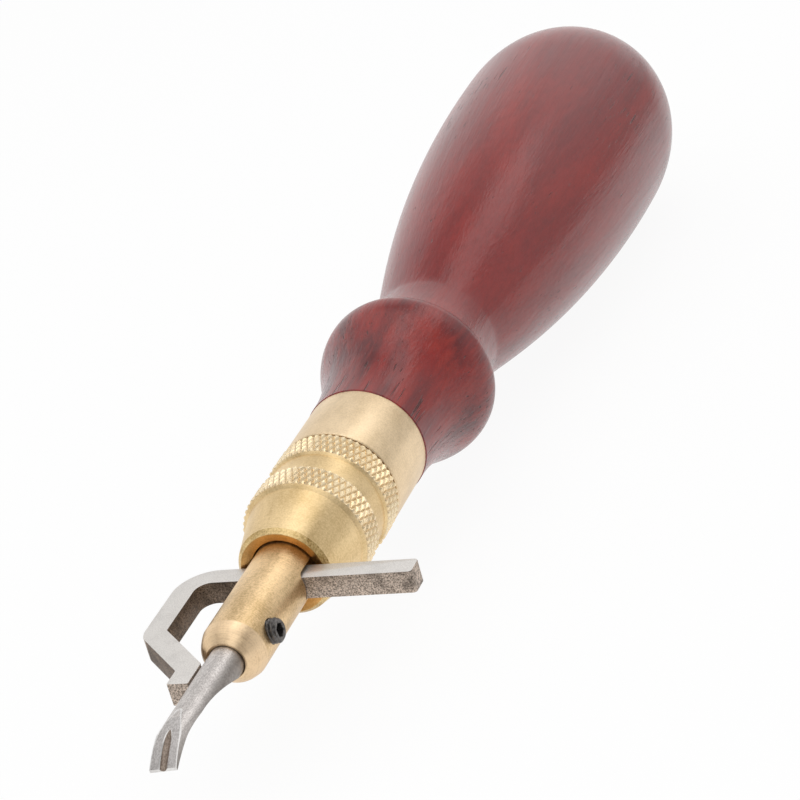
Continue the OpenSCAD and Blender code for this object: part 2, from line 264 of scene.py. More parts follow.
colour = mixed(tree, levels(tree, broad, 0.36, 0.64), wood_dark, wood_light)
colour = mixed(tree, levels(tree, heart, 0.2, 0.95, 0.0, 0.4), colour, heart_red)
colour = mixed(tree, figure_share, colour, figure_dark)
colour = mixed(tree, streak_share, colour, streak_red)
colour = mixed(tree, levels(tree, on_grip, 0, 1, 0.0, 0.4), colour, grip_red)
colour = mixed(tree, levels(tree, mottle, 0.45, 0.75, 0.0, 0.22), colour, fibre_dark)
colour = mixed(tree, levels(tree, fibre, 0.42, 0.75, 0.0, 0.2), colour, fibre_dark)
colour = mixed(tree, levels(tree, pore_mask, 0, 1, 0.0, 0.75), colour, pore_dark)
roughness = maths(tree, "ADD", levels(tree, streak, 0.3, 0.7, 0.4, 0.52),
                  levels(tree, pore_mask, 0, 1, 0.0, 0.15))
height = maths(tree, "SUBTRACT", levels(tree, fibre, 0.3, 0.7, 0.0, 0.3), pore_mask)
height = maths(tree, "ADD", height, levels(tree, streak, 0.3, 0.7, 0.0, 0.35))
dress(tree, shader, colour, roughness, relief(tree, height, wood_relief))
ripple = maths(tree, "ADD", height, maths(tree, "ADD", streak, figure))
ripple = maths(tree, "MULTIPLY", ripple, levels(tree, on_grip, 0, 1, 1.0, 0.75))
tree.links.new(relief(tree, ripple, varnish_relief), shader.inputs["Coat Normal"])
handle.data.materials.append(wood)
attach(handle, "grip")
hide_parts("handle")


# Ferrule: a plain brass cup turned from bar, pressed over the handle's spigot.
# Its edges are broken with a small bevel and its side carries fine turning marks.
ferrule_face = 38.55
ferrule_r = 8.0
ferrule_bore = 6.65
cup_floor = 40.95
face_edge = 0.25
mouth_edge = 0.1


def rounded_outline(corners, steps=5):
    """Points of a closed outline through corners given as (x, y, radius)."""
    points = []
    count = len(corners)
    for i, (x, y, r) in enumerate(corners):
        if r <= 0:
            points.append((x, y))
            continue
        p = Vector((x, y))
        u = (Vector(corners[i - 1][:2]) - p).normalized()
        v = (Vector(corners[(i + 1) % count][:2]) - p).normalized()
        half = u.angle(v) / 2
        centre = p + (u + v).normalized() * r / math.sin(half)
        arm = p + u * r / math.tan(half) - centre
        end = p + v * r / math.tan(half) - centre
        turn = math.copysign(math.pi - 2 * half, arm.x * end.y - arm.y * end.x)
        for k in range(steps + 1):
            w = turn * k / steps
            points.append((centre.x + arm.x * math.cos(w) - arm.y * math.sin(w),
                           centre.y + arm.x * math.sin(w) + arm.y * math.cos(w)))
    return points


ferrule_profile = rounded_outline([
    (tang_hole_r, ferrule_face, 0), (ferrule_r, ferrule_face, face_edge), (ferrule_r, wood_face, mouth_edge),
    (ferrule_bore, wood_face, 0), (ferrule_bore, cup_floor, 0), (tang_hole_r, cup_floor, 0)])
ferrule = turned("ferrule_cup", ferrule_profile, segments=160, ring=True)


def vectors(tree, operation, a, b=(0, 0, 0)):
    """Results of one step on vectors: a Vector and a Value."""
    return add(tree, "ShaderNodeVectorMath", {0: a, 1: b}, operation=operation).outputs


def shared_finish(name, inputs):
    """Group that gives a metal's colour, roughness and height: its tree, its inputs and its results."""
    tree = bpy.data.node_groups.new(name, "ShaderNodeTree")
    for label, kind in inputs:
        tree.interface.new_socket(label, in_out="INPUT", socket_type=kind)
    for label, kind in (("Colour", "NodeSocketColor"), ("Roughness", "NodeSocketFloat"),
                        ("Height", "NodeSocketFloat")):
        tree.interface.new_socket(label, in_out="OUTPUT", socket_type=kind)
    return tree, tree.nodes.new("NodeGroupInput").outputs, tree.nodes.new("NodeGroupOutput").inputs


def metal(name, group, values, metallic, depth, over=None):
    """Material with a shared finish and its own values; over, a function, changes the colour further."""
    made, tree, shader, place = material(name, metallic)
    shared = tree.nodes.new("ShaderNodeGroup")
    shared.node_tree = group
    tree.links.new(place, shared.inputs["Vector"])
    for label, value in values.items():
        shared.inputs[label].default_value = value
    colour = shared.outputs["Colour"]
    if over:
        colour = over(tree, place, colour)
    dress(tree, shader, colour, shared.outputs["Roughness"], relief(tree, shared.outputs["Height"], depth))
    return made


turned_brass, given, result = shared_finish("turned_brass", (
    ("Vector", "NodeSocketVector"), ("Light", "NodeSocketColor"), ("Deep", "NodeSocketColor"),
    ("Rings per metre", "NodeSocketFloat"), ("Ring share", "NodeSocketFloat"),
    ("Roughness", "NodeSocketFloat")))
tree = turned_brass
ring_scale = add(tree, "ShaderNodeCombineXYZ", {0: 60.0, 1: given["Rings per metre"], 2: 60.0}).outputs[0]
rings = noise(tree, vectors(tree, "MULTIPLY", given["Vector"], ring_scale)["Vector"], detail=2.0, rough=0.6)
cloud = grain(tree, given["Vector"], 300, 110, detail=4.0, rough=0.6)
speckle = noise(tree, given["Vector"], scale=4200.0, detail=2.0, rough=0.7)
ring_part = maths(tree, "MULTIPLY", levels(tree, rings, 0.3, 0.7), given["Ring share"])
shade = maths(tree, "ADD", levels(tree, cloud, 0.34, 0.66, -0.2, 0.55),
              levels(tree, speckle, 0.34, 0.68, 0.0, 0.6))
shade = maths(tree, "ADD", shade, maths(tree, "MULTIPLY", ring_part, 0.4))
rough = maths(tree, "ADD", given["Roughness"], levels(tree, cloud, 0.3, 0.7, -0.05, 0.06))
rough = maths(tree, "ADD", rough, levels(tree, speckle, 0.3, 0.7, -0.04, 0.05))
height = maths(tree, "ADD", ring_part, levels(tree, speckle, 0.3, 0.7, 0.0, 0.9))
tree.links.new(mixed(tree, shade, given["Deep"], given["Light"]), result["Colour"])
tree.links.new(rough, result["Roughness"])
tree.links.new(height, result["Height"])


def brass(name, light, deep, rings, ring_share, roughness, depth, over=None):
    """Brass with turning marks round the tool axis; rings is their count in a metre."""
    values = {"Light": light, "Deep": deep, "Rings per metre": rings, "Ring share": ring_share,
              "Roughness": roughness}
    return metal(name, turned_brass, values, 1.0, depth, over)


ferrule.data.materials.append(brass(
    "ferrule_brass", light=(0.95, 0.75, 0.5, 1), deep=(0.7, 0.525, 0.315, 1),
    rings=5200.0, ring_share=0.35, roughness=0.36, depth=0.012))
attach(ferrule, "grip")
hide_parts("ferrule")


# Spindle: turned from brass bar. Its rounded nose has the socket for the tip, a milled slot across
# the rod takes the guide, a tapped hole in the side takes the set screw, and the tang goes into the handle.
spindle_r = 4.0
socket_r = 2.15
socket_depth = 12.8
socket_break = 0.1
drill_point = 0.8
nose_len = 2.6
nose_end_r = 2.45
nose_handle = (3.603, 1.075)
rod_step = 0.5
thread_front = 23.9
thread_r = 4.7
tang_r = 3.0
tang_end = 71.55
slot_front = 15.6
slot_back = 23.5
slot_bottom = -1.9
slot_top = 1.6
slot_low_corner = 0.2
slot_top_corner = 0.7
slot_reach = 6
screw_at = 5.3
screw_turn = math.radians(8)
screw_hole_r = 1.55
screw_hole_from = 1.0
screw_hole_to = 8.0


def extruded(name, outline, low, high, turn=Matrix.Identity(4)):
    """Solid from an outline in millimetres, drawn up from low to high and then turned into place."""
    bm = bmesh.new()
    base = [bm.verts.new((x * mm, y * mm, low * mm)) for x, y in outline]
    top = [bm.verts.new((x * mm, y * mm, high * mm)) for x, y in outline]
    bm.faces.new(base[::-1])
    bm.faces.new(top)
    for i in range(len(outline)):
        j = (i + 1) % len(outline)
        bm.faces.new((base[i], base[j], top[j], top[i]))
    bm.transform(turn)
    return finished(name, bm)


def settled(obj, crease=28):
    """Makes a piece's modifiers part of its mesh, smooth up to the crease angle."""
    old = obj.data
    mesh = bpy.data.meshes.new_from_object(obj.evaluated_get(bpy.context.evaluated_depsgraph_get()))
    mesh.name = obj.name
    obj.modifiers.clear()
    obj.data = mesh
    bpy.data.meshes.remove(old)
    mesh.shade_smooth()
    mesh.set_sharp_from_angle(angle=math.radians(crease))


def cut_away(obj, *cutters):
    """Takes solids out of a piece and removes them."""
    for cutter in cutters:
        step = obj.modifiers.new("cut", "BOOLEAN")
        step.operation = "DIFFERENCE"
        step.solver = "EXACT"
        step.object = cutter
        settled(obj)
        bpy.data.objects.remove(cutter)


def circle(radius, count):
    """Outline of a circle."""
    angles = [2 * math.pi * i / count for i in range(count)]
    return [(radius * math.cos(a), radius * math.sin(a)) for a in angles]


spindle_profile = [(0, socket_depth + drill_point), (socket_r, socket_depth), (socket_r, socket_break),
                   (socket_r + socket_break, 0), (nose_end_r, 0)]
spindle_profile += cubic((nose_end_r, 0), nose_handle, nose_handle, (spindle_r, nose_len), steps=24)
spindle_profile += [(spindle_r, rod_step * i)
                    for i in range(math.ceil(nose_len / rod_step), math.ceil(thread_front / rod_step))]
spindle_profile += [(spindle_r, thread_front), (thread_r, thread_front), (thread_r, ferrule_face),
                    (tang_r, ferrule_face), (tang_r, tang_end), (0, tang_end)]
spindle = turned("spindle_rod", spindle_profile, segments=192)
along_x = Matrix(((0, 0, 1, 0), (1, 0, 0, 0), (0, 1, 0, 0), (0, 0, 0, 1)))
slot_outline = rounded_outline([
    (slot_front, slot_bottom, slot_low_corner), (slot_back, slot_bottom, slot_low_corner),
    (slot_back, slot_top, slot_top_corner), (slot_front, slot_top, slot_top_corner)], steps=10)
slot_cutter = extruded("slot", slot_outline, -slot_reach, slot_reach, along_x)
screw_side = Matrix.Translation((0, screw_at * mm, 0)) @ Matrix.Rotation(-screw_turn, 4, "Y")
to_side = Matrix.Rotation(math.pi / 2, 4, "Y")
screw_hole = extruded("screw_hole", circle(screw_hole_r, 64), screw_hole_from, screw_hole_to,
                      screw_side @ to_side)
cut_away(spindle, slot_cutter, screw_hole)
spindle.data.set_sharp_from_angle(angle=math.radians(8))

spindle.data.materials.append(brass(
    "spindle_brass", light=(0.97, 0.71, 0.41, 1), deep=(0.52, 0.345, 0.155, 1),
    rings=7600.0, ring_share=0.6, roughness=0.34, depth=0.018))
spindle.data.materials.append(brass(
    "nose_brass", light=(0.92, 0.69, 0.44, 1), deep=(0.68, 0.48, 0.28, 1),
    rings=5200.0, ring_share=1.4, roughness=0.36, depth=0.007))
for face in spindle.data.polygons:
    on_nose = face.center.y < nose_len * mm and face.normal.y < -0.1
    face.material_index = 1 if on_nose else 0
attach(spindle, "grip")
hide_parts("spindle")


# Clamp nut: turned from brass bar. Its mouth is dished behind a bevelled lip, a long cone leads to two
# bands with a rolled diamond knurl, and a plain groove parts the bands. It screws back to free the guide.
nut_face = 18.9
nut_back = 38.35
mouth_floor = 19.4
mouth_back = 19.5
lip_back = 19.58
bore_front = 23.7
relief_r = 4.2
dish_r = 5.4
lip_r = 5.95
cone_r = 7.4
groove_r = 7.6
groove_w = 3.8
groove_fall = 0.18
groove_rise = 0.25
nut_bore_r = 4.75
bore_break = 0.2
knurl_r = 8.1
knurl_depth = 0.28
knurl_count = 56
knurl_rows = 3
knurl_bevel = 0.25
knurl_flat = 0.65
knurl_wear = 0.95
diamond_steps = 10
band_steps = 48
band_w = 4.0
band_inset = 0.02
band_lead = 0.4
band_sink = 0.04
seat_gap = 0.03
rim_rise = 0.1
seat_lap = 0.1
rear_band = nut_back - band_w
front_band = rear_band - groove_w - band_w
seat_r = knurl_r - knurl_depth - seat_gap
rim_r = seat_r + rim_rise
# Colour of the painted shade in the roots of the knurl.
root_shade_brown = (0.42, 0.25, 0.1, 1)

nut_profile = rounded_outline([
    (relief_r, mouth_floor, 0.1), (dish_r, nut_face, 0.07), (lip_r, lip_back, 0.1),
    (cone_r, front_band - band_lead, 0.06), (rim_r, front_band, 0.03), (seat_r, front_band + band_sink, 0),
    (seat_r, front_band + band_w - band_inset, 0), (groove_r, front_band + band_w + groove_fall, 0.1),
    (groove_r, rear_band - groove_rise, 0.06), (rim_r, rear_band, 0.03), (seat_r, rear_band + band_sink, 0),
    (seat_r, nut_back - band_inset, 0.02), (nut_bore_r + bore_break, nut_back - band_inset, 0),
    (nut_bore_r, nut_back - bore_break, 0), (nut_bore_r, bore_front, 0),
    (relief_r, bore_front, 0)])
nut = turned("nut_body", nut_profile, segments=192, ring=True)

# The knurl is a flat grid wrapped round the nut. Its first row and its last two go under the band
# and close it.
knurl_tree = bpy.data.node_groups.new("diamond_knurl", "GeometryNodeTree")
knurl_tree.interface.new_socket("Geometry", in_out="OUTPUT", socket_type="NodeSocketGeometry")
knurl_inputs = {}
for label, kind in (("Diamonds round", "NodeSocketFloat"), ("Rows", "NodeSocketFloat"),
                    ("Steps round", "NodeSocketInt"), ("Steps along", "NodeSocketInt"),
                    ("Front", "NodeSocketFloat"), ("Width", "NodeSocketFloat"),
                    ("Crest radius", "NodeSocketFloat"), ("Depth", "NodeSocketFloat"),
                    ("Seat radius", "NodeSocketFloat"), ("Bevel", "NodeSocketFloat"),
                    ("Flat share", "NodeSocketFloat"), ("Finish", "NodeSocketMaterial")):
    knurl_inputs[label] = knurl_tree.interface.new_socket(label, in_out="INPUT", socket_type=kind).identifier
tree = knurl_tree
given = tree.nodes.new("NodeGroupInput").outputs
sheet = add(tree, "GeometryNodeMeshGrid", {
    "Size X": 1.0, "Size Y": 1.0, "Vertices X": maths(tree, "ADD", given["Steps round"], 1.0),
    "Vertices Y": maths(tree, "ADD", given["Steps along"], 4.0)}).outputs["Mesh"]
position = tree.nodes.new("GeometryNodeInputPosition").outputs[0]
spot = add(tree, "ShaderNodeSeparateXYZ", {0: position}).outputs
round_share = maths(tree, "ADD", spot[0], 0.5)
row = maths(tree, "MULTIPLY", maths(tree, "ADD", spot[1], 0.5), maths(tree, "ADD", given["Steps along"], 3.0))
band_share = maths(tree, "DIVIDE", maths(tree, "SUBTRACT", row, 1.0), given["Steps along"])
band_share = add(tree, "ShaderNodeClamp", {0: band_share}).outputs[0]
last = maths(tree, "GREATER_THAN", row, maths(tree, "ADD", given["Steps along"], 2.5))
band_share = maths(tree, "MULTIPLY", band_share, maths(tree, "SUBTRACT", 1.0, last))
at_end = maths(tree, "GREATER_THAN", row, maths(tree, "ADD", given["Steps along"], 1.5))
under = maths(tree, "MAXIMUM", maths(tree, "LESS_THAN", row, 0.5), at_end)

# Two sets of ridges cross at an angle. The lower of the two at each point is the knurl, flat on top
# and bevelled towards the band's sides.
along_band = maths(tree, "MULTIPLY", band_share, given["Width"])
from_front = maths(tree, "SUBTRACT", along_band, given["Bevel"])
rolled = maths(tree, "SUBTRACT", given["Width"], maths(tree, "MULTIPLY", given["Bevel"], 2.0))
lengthwise = maths(tree, "MULTIPLY", maths(tree, "DIVIDE", from_front, rolled), given["Rows"])
lengthwise = maths(tree, "MULTIPLY", maths(tree, "ADD", lengthwise, 1.0), 0.5)
across = maths(tree, "MULTIPLY", round_share, given["Diamonds round"])
ridge = maths(tree, "MINIMUM", maths(tree, "PINGPONG", maths(tree, "ADD", across, lengthwise), 0.5),
              maths(tree, "PINGPONG", maths(tree, "SUBTRACT", across, lengthwise), 0.5))
ridge = maths(tree, "DIVIDE", maths(tree, "MULTIPLY", ridge, 2.0), given["Flat share"])
ridge = maths(tree, "MINIMUM", ridge, 1.0)
to_side_share = maths(tree, "MINIMUM", band_share, maths(tree, "SUBTRACT", 1.0, band_share))
bevel = maths(tree, "DIVIDE", maths(tree, "MULTIPLY", to_side_share, given["Width"]), given["Bevel"])
bevel = maths(tree, "MINIMUM", bevel, 1.0)
raised = maths(tree, "MULTIPLY", maths(tree, "MULTIPLY", ridge, bevel), given["Depth"])
knurled = maths(tree, "ADD", maths(tree, "SUBTRACT", given["Crest radius"], given["Depth"]), raised)
lowered = maths(tree, "MULTIPLY", under, maths(tree, "SUBTRACT", given["Seat radius"], knurled))
radius = maths(tree, "ADD", knurled, lowered)
turn = maths(tree, "MULTIPLY", round_share, -2 * math.pi)
wrapped = add(tree, "ShaderNodeCombineXYZ", {
    0: maths(tree, "MULTIPLY", radius, maths(tree, "COSINE", turn)),
    1: maths(tree, "ADD", given["Front"], along_band),
    2: maths(tree, "MULTIPLY", radius, maths(tree, "SINE", turn))}).outputs[0]
bent = add(tree, "GeometryNodeSetPosition", {"Geometry": sheet, "Position": wrapped}).outputs[0]
welded = add(tree, "GeometryNodeMergeByDistance", {"Geometry": bent, "Distance": 0.002 * mm}).outputs[0]
whole = add(tree, "GeometryNodeRealizeInstances", {"Geometry": welded}).outputs[0]
dressed = add(tree, "GeometryNodeSetMaterial", {"Geometry": whole, "Material": given["Finish"]}).outputs[0]
tree.links.new(dressed, tree.nodes.new("NodeGroupOutput").inputs[0])


def painted_root_shade(tree, place, colour):
    """Brass with painted shade that darkens it towards the roots of the knurl."""
    from_axis = vectors(tree, "LENGTH", vectors(tree, "MULTIPLY", place, (1, 0, 1))["Vector"])["Value"]
    root = (knurl_r - knurl_depth) * mm
    flank = (knurl_r - 0.35 * knurl_depth) * mm
    return mixed(tree, levels(tree, from_axis, root, flank, 0.5, 0.0), colour, root_shade_brown)


nut_brass = brass(
    "nut_brass", light=(0.93, 0.71, 0.4, 1), deep=(0.65, 0.46, 0.22, 1),
    rings=4200.0, ring_share=0.4, roughness=0.36, depth=0.009)
knurl_brass = brass(
    "knurl_brass", light=(1.0, 0.84, 0.57, 1), deep=(0.9, 0.69, 0.41, 1),
    rings=900.0, ring_share=0.2, roughness=0.25, depth=0.008, over=painted_root_shade)
mouth_brass = brass(
    "mouth_brass", light=(0.98, 0.74, 0.37, 1), deep=(0.42, 0.265, 0.09, 1),
    rings=4200.0, ring_share=0.3, roughness=0.33, depth=0.025)
# Painted shade and painted reflection: the dish's inner wall is painted a darker, more orange brass than the
# rest of the nut.
dish_shade_and_reflection = brass(
    "dish_shade_and_reflection", light=(0.86, 0.52, 0.2, 1), deep=(0.6, 0.32, 0.1, 1),
    rings=4200.0, ring_share=0.5, roughness=0.34, depth=0.01)
for made in (nut_brass, mouth_brass, dish_shade_and_reflection):
    nut.data.materials.append(made)
# Mouth faces that look in towards the axis get the dish's painted shade and reflection; the others get the
# lip's finish.
for face in nut.data.polygons:
    if face.center.y < mouth_back * mm and face.normal.y < -0.2:
        outwards = face.center.x * face.normal.x + face.center.z * face.normal.z
        face.material_index = 2 if outwards < 0 else 1
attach(nut, "nut")
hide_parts("clamp_nut")
for label, front in (("knurl_front", front_band), ("knurl_rear", rear_band)):
    knurl = bpy.data.objects.new(label, bpy.data.meshes.new(label))
    bpy.context.collection.objects.link(knurl)
    pattern = knurl.modifiers.new("knurl", "NODES")
    pattern.node_group = knurl_tree
    for key, value in (("Diamonds round", float(knurl_count)), ("Rows", float(knurl_rows)),
                       ("Steps round", knurl_count * diamond_steps), ("Steps along", band_steps),
                       ("Front", front * mm), ("Width", band_w * mm), ("Crest radius", knurl_r * mm),
                       ("Depth", knurl_wear * knurl_depth * mm), ("Seat radius", (seat_r - seat_lap) * mm),
                       ("Bevel", knurl_bevel * mm), ("Flat share", knurl_flat), ("Finish", knurl_brass)):
        pattern[knurl_inputs[key]] = value
    settled(knurl, crease=12)
    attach(knurl, "nut")


# Edge guide: a hook cut from steel plate, ground on its two faces and left grey on its cut sides.
# The bar goes through the spindle's slot, and the foot runs along the leather's edge beside the tip.
bar_front = 15.8
bar_back = 18.7
bar_reach = 17.6
bar_corner = 0.5
guide_w = 2.9
plate_low = -1.75
plate_high = 1.15
plate_break = 0.09
foot_in = -2.2
foot_out = -4.9
foot_w = foot_in - foot_out
foot_end = -5.8
heel = -3.1
elbow = 4.5
leg_out = -12.5
leg_in = leg_out + guide_w
diagonal = guide_w * math.sqrt(2)
cut_corner = 0.2
outer_bend = 4.7
inner_bend = 1.8
elbow_bend = 3.2
heel_bend = 0.9
hook_end = -3.0

guide_outline = rounded_outline([
    (bar_reach, bar_front, bar_corner), (bar_reach, bar_back, bar_corner), (leg_out, bar_back, outer_bend),
    (leg_out, elbow, elbow_bend), (foot_out, heel, cut_corner), (foot_out, foot_end, cut_corner),
    (foot_in, foot_end, cut_corner), (foot_in, heel + diagonal - foot_w, heel_bend),
    (leg_in, elbow + diagonal - guide_w, cut_corner), (leg_in, bar_front, inner_bend)], steps=14)
guide = extruded("edge_guide", guide_outline, plate_low, plate_high)
edges = guide.modifiers.new("edge", "BEVEL")
edges.width = plate_break * mm
edges.segments = 2
edges.limit_method = "ANGLE"
edges.angle_limit = math.radians(50)
settled(guide)

ground_steel, given, result = shared_finish("ground_steel", (
    ("Vector", "NodeSocketVector"), ("Light", "NodeSocketColor"), ("Dark", "NodeSocketColor"),
    ("Grain per metre", "NodeSocketVector"), ("Stain share", "NodeSocketFloat"),
    ("Roughness", "NodeSocketFloat")))
tree = ground_steel
grain_place = vectors(tree, "MULTIPLY", given["Vector"], given["Grain per metre"])["Vector"]
fine = noise(tree, grain_place, detail=4.0, rough=0.65)
cloud = noise(tree, given["Vector"], scale=420.0, detail=4.0, rough=0.6)
stain = mixed(tree, 0.65, given["Dark"], (0, 0, 0, 1))
stained = maths(tree, "MULTIPLY", levels(tree, cloud, 0.5, 0.68), given["Stain share"])
colour = mixed(tree, levels(tree, fine, 0.37, 0.63), given["Dark"], given["Light"])
rough = maths(tree, "ADD", given["Roughness"], levels(tree, fine, 0.3, 0.7, -0.08, 0.08))
rough = maths(tree, "ADD", rough, levels(tree, cloud, 0.4, 0.7, 0.0, 0.1))
tree.links.new(mixed(tree, stained, colour, stain), result["Colour"])
tree.links.new(rough, result["Roughness"])
tree.links.new(fine, result["Height"])


def steel(name, light, dark, across, along, stain, roughness, metallic, depth, over=None):
    """Steel with grain, in marks per metre across and along the tool axis, and darker stains."""
    values = {"Light": light, "Dark": dark, "Grain per metre": (across, along, across), "Stain share": stain,
              "Roughness": roughness}
    return metal(name, ground_steel, values, metallic, depth, over)


guide.data.materials.append(steel(
    "guide_face", light=(0.86, 0.83, 0.795, 1), dark=(0.65, 0.62, 0.59, 1),
    across=7000, along=7000, stain=0.1, roughness=0.45, metallic=0.9, depth=0.008))
guide.data.materials.append(steel(
    "guide_cut_side", light=(0.84, 0.7, 0.59, 1), dark=(0.14, 0.11, 0.087, 1),
    across=4800, along=4800, stain=0.5, roughness=0.5, metallic=0.75, depth=0.03))
# Painted shade: the inside of the hook, which the spindle shades, is painted far darker than the cut side.
guide.data.materials.append(steel(
    "guide_inner_shade", light=(0.31, 0.23, 0.17, 1), dark=(0.055, 0.04, 0.03, 1),
    across=5600, along=5600, stain=0.5, roughness=0.55, metallic=0.75, depth=0.03))

# The inner side of the hook carries painted shade, and it changes to the plain cut side where the bar goes
# into the spindle.
bm = bmesh.new()
bm.from_mesh(guide.data)
bmesh.ops.bisect_plane(bm, geom=bm.verts[:] + bm.edges[:] + bm.faces[:],
                       plane_co=(-spindle_r * mm, 0, 0), plane_no=(1, 0, 0))
bm.to_mesh(guide.data)
bm.free()
for face in guide.data.polygons:
    turned_in = face.normal.x > 0.2 or face.normal.y < -0.2
    behind_leg = leg_in - 0.5 < face.center.x / mm < hook_end and face.center.y > 0
    side = 2 if turned_in and behind_leg else 1
    face.material_index = 0 if abs(face.normal.z) > 0.5 else side
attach(guide, "edge_guide")
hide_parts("guide")


# Cutting tip: a steel rod forged hollow underneath and ground to a facet that curves down to the edge.
# Its sides are ground in behind the edge. One channel is cut in the facet, so the two prongs beside it
# slice a strip out of the leather.
shank_r = 2.1
shank_end = 12.6
tip_reach = 19.7
facet_start = 12.1
facet_blend = 1.7
taper_start = 9.0
side_waist = 1.55
side_waist_at = 15.4
side_power = 5
edge_drop = 2.65
edge_half = 1.7
edge_t = 0.35
edge_break = 0.035
hollow_top = 0.85
hollow_at = 11.1
channel_r = 0.54
channel_len = 3.9
channel_depth = 0.24
channel_break = 0.06
side_steps = 28
channel_steps = 12
tip_turn = math.radians(5)
# Colours of the painted shade on the tip's lower flanks.
flank_shade_dark = (0.08, 0.07, 0.062, 1)
flank_shade_light = (0.42, 0.375, 0.34, 1)
edge_z = shank_r - edge_drop
facet_run = tip_reach - facet_start
facet_r = (facet_run**2 + edge_drop**2) / (2 * edge_drop)
hollow_drop = hollow_top - edge_z + edge_t
hollow_r = ((tip_reach - hollow_at) ** 2 + hollow_drop**2) / (2 * hollow_drop)
# Finishes of the tip's strips; the last one is a painted highlight on the edge chamfers and the front end.
forged, facet, channel, edge_highlight = range(4)


def facet_z(y):
    """Height of the top facet at a place along the axis."""
    return shank_r - facet_r + math.sqrt(facet_r**2 - (y + facet_start) ** 2)


def hollow_z(y):
    """Height of the hollow underside at a place along the axis."""
    return hollow_top - hollow_r + math.sqrt(hollow_r**2 - (y + hollow_at) ** 2)


channel_start = channel_len - tip_reach
channel_top = facet_z(channel_start)
channel_tilt = math.atan2(channel_top - edge_z + channel_depth, channel_len)


def tip_section(y):
    """Outline of the tip at a place along the axis as (x, z, finish of the strip that follows)."""
    if y < -side_waist_at:
        half_w = side_waist + (edge_half - side_waist) * (-y - side_waist_at) / (tip_reach - side_waist_at)
    else:
        ease = min(1.0, max(0.0, (y + side_waist_at) / (side_waist_at - taper_start)))
        half_w = side_waist + (shank_r - side_waist) * ease * ease * (3 - 2 * ease)
    top = facet_z(y) if y < -facet_start else shank_r
    low = max(-shank_r, hollow_z(y)) if y < 0 else -shank_r
    round_x = math.sqrt(max(1e-12, shank_r**2 - top**2))
    top_x = (half_w**-side_power + round_x**-side_power) ** (-1 / side_power)
    edge = min(edge_break, 0.3 * top_x)
    cutter_z = channel_top + channel_r + (y - channel_start) * math.tan(channel_tilt)
    over_top = (cutter_z - top) * math.cos(channel_tilt)
    rim = math.sqrt(max(0.0, channel_r**2 - over_top**2)) if y < channel_start + 1 else 0.0
    rim_edge = min(channel_break, 0.3 * rim)
    low_turn = math.asin(low / shank_r)
    side_turn = math.asin((top - edge) / shank_r) - low_turn
    side = []
    for i in range(side_steps + 1):
        z = shank_r * math.sin(low_turn + side_turn * i / side_steps)
        side.append((min(half_w, math.sqrt(max(0.0, shank_r**2 - z * z))), z))
    floor = []
    for i in range(channel_steps + 1):
        w = (rim - rim_edge) * math.cos(math.pi * i / channel_steps)
        depth = (math.sqrt(channel_r**2 - w * w) - over_top) / math.cos(channel_tilt) if rim > 0 else 0.0
        floor.append((w, top - depth, channel))
    upper = facet if y < -facet_start - facet_blend else forged
    outline = [(x, z, forged) for x, z in side[:-1]]
    outline += [(*side[-1], edge_highlight), (top_x - edge, top, upper), (rim + rim_edge, top, edge_highlight)]
    outline += floor[:-1]
    outline += [(*floor[-1][:2], edge_highlight), (-rim - rim_edge, top, upper), (edge - top_x, top, edge_highlight)]
    outline += [(-x, z, forged) for x, z in side[::-1]]
    return outline


# Sections lie closest near the edge. Each stretch has its start, its step and its count of sections.
tip_places = []
for start, step, count in ((-tip_reach, 0.08, 60), (-14.9, 0.1, 50), (-9.9, 0.33, 31)):
    tip_places += [start + step * i for i in range(count)]
tip_places += [1.0, 6.0, shank_end - 0.2, shank_end]
outlines = [tip_section(y) for y in tip_places]
bm = bmesh.new()
sections = []
for y, outline in zip(tip_places, outlines):
    sections.append([bm.verts.new((x * mm, y * mm, z * mm)) for x, z, kind in outline])
for a, b, outline in zip(sections, sections[1:], outlines):
    for i, (x, z, kind) in enumerate(outline):
        j = (i + 1) % len(outline)
        bm.faces.new((a[i], a[j], b[j], b[i])).material_index = kind
bm.faces.new(sections[0]).material_index = edge_highlight
bm.faces.new(sections[-1])
bmesh.ops.remove_doubles(bm, verts=bm.verts, dist=0.002 * mm)
bmesh.ops.dissolve_degenerate(bm, dist=0.001 * mm, edges=bm.edges)
bm.transform(Matrix.Rotation(-tip_turn, 4, "Y"))
tip = finished("tip_rod", bm, crease=20)


def shaded_lower_flanks(tree, place, colour):
    """Steel with painted shade on the lower flanks: a mottled darker colour on both sides and underneath."""
    spot = add(tree, "ShaderNodeSeparateXYZ", {0: place}).outputs
    raised = maths(tree, "MULTIPLY", spot[2], 0.45)
    outwards = maths(tree, "SUBTRACT", maths(tree, "ABSOLUTE", spot[0]), raised)
    flank = levels(tree, outwards, 0.5 * mm, 1.7 * mm, 0.0, 0.85)
    mottle = noise(tree, place, scale=2600.0, detail=4.0)
    flank_shade = mixed(tree, mottle, flank_shade_dark, flank_shade_light)
    return mixed(tree, flank, colour, flank_shade)


tip.data.materials.append(steel(
    "tip_steel", light=(0.76, 0.72, 0.69, 1), dark=(0.45, 0.415, 0.397, 1), across=7500, along=3200,
    stain=0.12, roughness=0.37, metallic=0.95, depth=0.006, over=shaded_lower_flanks))
tip.data.materials.append(steel(
    "tip_facet", light=(0.68, 0.65, 0.635, 1), dark=(0.42, 0.395, 0.38, 1), across=6500, along=3600,
    stain=0.1, roughness=0.44, metallic=0.95, depth=0.012))
# Painted shade: the channel is painted a darker brown-grey than the facet.
tip.data.materials.append(steel(
    "tip_channel_shade", light=(0.44, 0.36, 0.3, 1), dark=(0.2, 0.155, 0.125, 1), across=6000, along=2600,
    stain=0.15, roughness=0.5, metallic=0.9, depth=0.01))
